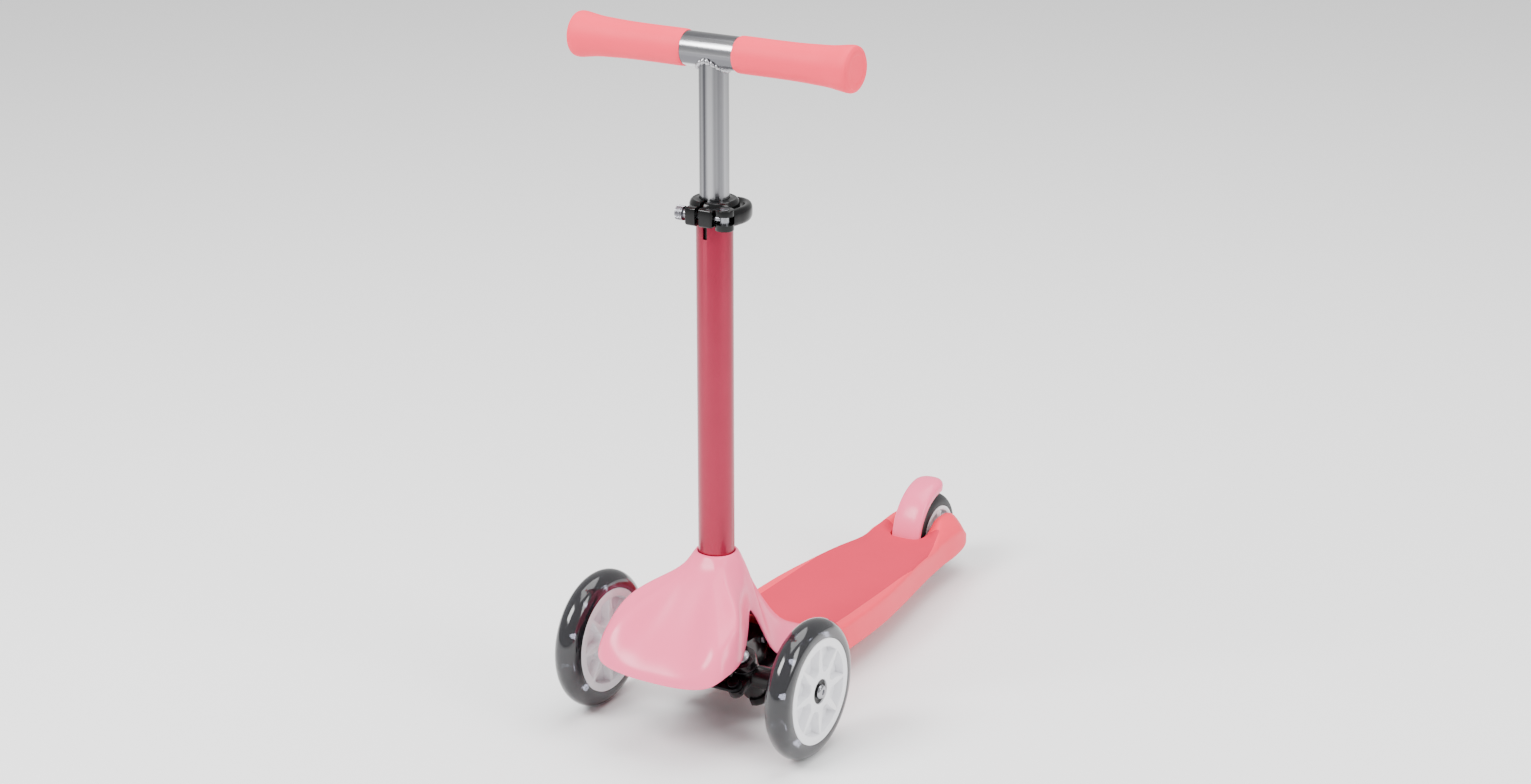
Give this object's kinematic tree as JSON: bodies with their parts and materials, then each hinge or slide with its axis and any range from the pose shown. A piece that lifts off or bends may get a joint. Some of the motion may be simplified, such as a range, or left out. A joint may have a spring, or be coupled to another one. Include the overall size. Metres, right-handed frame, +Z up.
{
  "type": "three wheel kids scooter",
  "caption": "Lean-to-steer kick scooter for children: two large front wheels under a cowl, a waisted deck, a rear wheel with a foot brake, and a height-adjustable T-bar.",
  "frame": {"origin": "on the floor, below the middle of the scooter's overall length and width", "axes": "+Z up, -Y to the front where the scooter rolls, +X to the rider's left"},
  "size_m": [0.271, 0.5487, 0.6236],
  "materials": {
    "deck_plastic": "coral pink moulded plastic, satin, with a matt textured top panel",
    "cowl_plastic": "light pink glossy moulded plastic",
    "black_plastic": "black moulded plastic, semi-gloss",
    "clamp_plastic": "black glossy moulded plastic",
    "steel": "zinc plated steel",
    "black_steel": "black painted steel",
    "bush_rubber": "firm black rubber",
    "hub_plastic": "white moulded plastic",
    "front_tyre": "smoky see-through polyurethane with lamps inside",
    "rear_tyre": "black polyurethane",
    "lamp_plastic": "clear moulded band with lamp domes",
    "painted_tube": "metallic raspberry paint",
    "polished_aluminium": "polished aluminium",
    "grey_plastic": "grey nylon",
    "grip_rubber": "soft coral pink rubber"
  },
  "bodies": {
    "frame": {"deck": "deck_plastic", "front_cowl": "cowl_plastic", "truck_housing": "black_plastic", "kingpin_left": "steel", "kingpin_right": "steel", "kingpin_nut_left": "steel", "kingpin_nut_right": "steel", "kingpin_bush_left": "bush_rubber", "kingpin_bush_right": "bush_rubber", "lower_tube": "painted_tube", "stem_plug": "steel", "stem_bolt": "steel", "tube_sleeve": "black_plastic", "clamp_collar": "clamp_plastic", "clamp_bolt": "steel", "clamp_pivot": "steel", "rear_axle": "steel", "rear_axle_spacer_left": "steel", "rear_axle_spacer_right": "steel", "rear_bearing_spacer": "steel", "brake_hinge_pin": "steel", "brake_spring": "steel", "housing_screw_left": "steel", "housing_screw_right": "steel", "deck_bolt_left": "steel", "deck_bolt_right": "steel"},
    "knuckle_left": {"steering_knuckle_left": "black_plastic", "tie_rod_pin_left": "black_steel", "front_left_axle": "steel", "front_left_axle_spacer": "steel", "front_left_bearing_spacer": "steel"},
    "knuckle_right": {"steering_knuckle_right": "black_plastic", "tie_rod_pin_right": "black_steel", "front_right_axle": "steel", "front_right_axle_spacer": "steel", "front_right_bearing_spacer": "steel"},
    "steering_link": {"tie_rod": "black_steel"},
    "wheel_left": {"front_left_hub": "hub_plastic", "front_left_tyre": "front_tyre", "front_left_lamp_ring": "lamp_plastic", "front_left_bearing_outer": "steel", "front_left_bearing_inner": "steel"},
    "wheel_right": {"front_right_hub": "hub_plastic", "front_right_tyre": "front_tyre", "front_right_lamp_ring": "lamp_plastic", "front_right_bearing_outer": "steel", "front_right_bearing_inner": "steel"},
    "wheel_rear": {"rear_hub": "hub_plastic", "rear_tyre": "rear_tyre", "rear_bearing_outer": "steel", "rear_bearing_inner": "steel"},
    "handlebar": {"upper_tube": "polished_aluminium", "crossbar": "polished_aluminium", "grip_left": "grip_rubber", "grip_right": "grip_rubber", "tube_glide": "grey_plastic"},
    "lever": {"clamp_lever": "clamp_plastic"},
    "thumb_nut": {"clamp_thumb_nut": "steel"},
    "brake": {"brake_fender": "cowl_plastic"}
  },
  "joints": [
    {"name": "steer_left", "type": "hinge", "parent": "frame", "child": "knuckle_left", "pos_m": [0.048, -0.19075, 0.0625], "axis": [0, -0.5, 0.866], "range_deg": [-12, 12], "stiffness_Nm_per_rad": 6},
    {"name": "steer_right", "type": "hinge", "parent": "frame", "child": "knuckle_right", "pos_m": [-0.048, -0.19075, 0.0625], "axis": [0, -0.5, 0.866], "range_deg": [-12, 12], "stiffness_Nm_per_rad": 6},
    {"name": "tie_rod_swing", "type": "hinge", "parent": "knuckle_left", "child": "steering_link", "pos_m": [0.048, -0.2098, 0.0515], "axis": [0, -0.5, 0.866], "range_deg": [-12, 12]},
    {"name": "front_left_spin", "type": "hinge", "parent": "knuckle_left", "child": "wheel_left", "pos_m": [0.1075, -0.19075, 0.0625], "axis": [1, 0, 0], "continuous": true},
    {"name": "front_right_spin", "type": "hinge", "parent": "knuckle_right", "child": "wheel_right", "pos_m": [-0.1075, -0.19075, 0.0625], "axis": [1, 0, 0], "continuous": true},
    {"name": "rear_spin", "type": "hinge", "parent": "frame", "child": "wheel_rear", "pos_m": [0, 0.23425, 0.04], "axis": [1, 0, 0], "continuous": true},
    {"name": "bar_height", "type": "slide", "parent": "frame", "child": "handlebar", "axis": [0, 0, 1], "range_m": [-0.1, 0.08]},
    {"name": "lever_open", "type": "hinge", "parent": "frame", "child": "lever", "pos_m": [0.023, -0.18725, 0.468], "axis": [0, 0, -1], "range_deg": [0, 150]},
    {"name": "nut_turn", "type": "hinge", "parent": "frame", "child": "thumb_nut", "pos_m": [-0.0178, -0.18725, 0.468], "axis": [1, 0, 0], "continuous": true},
    {"name": "brake_press", "type": "hinge", "parent": "frame", "child": "brake", "pos_m": [0, 0.18525, 0.033], "axis": [-1, 0, 0], "range_deg": [0, 3.5], "stiffness_Nm_per_rad": 1.2, "springref_deg": -4.58}
  ],
  "couplings": [
    {"joint": "steer_right", "follows": "steer_left", "ratio": 1},
    {"joint": "tie_rod_swing", "follows": "steer_left", "ratio": -1}
  ]
}
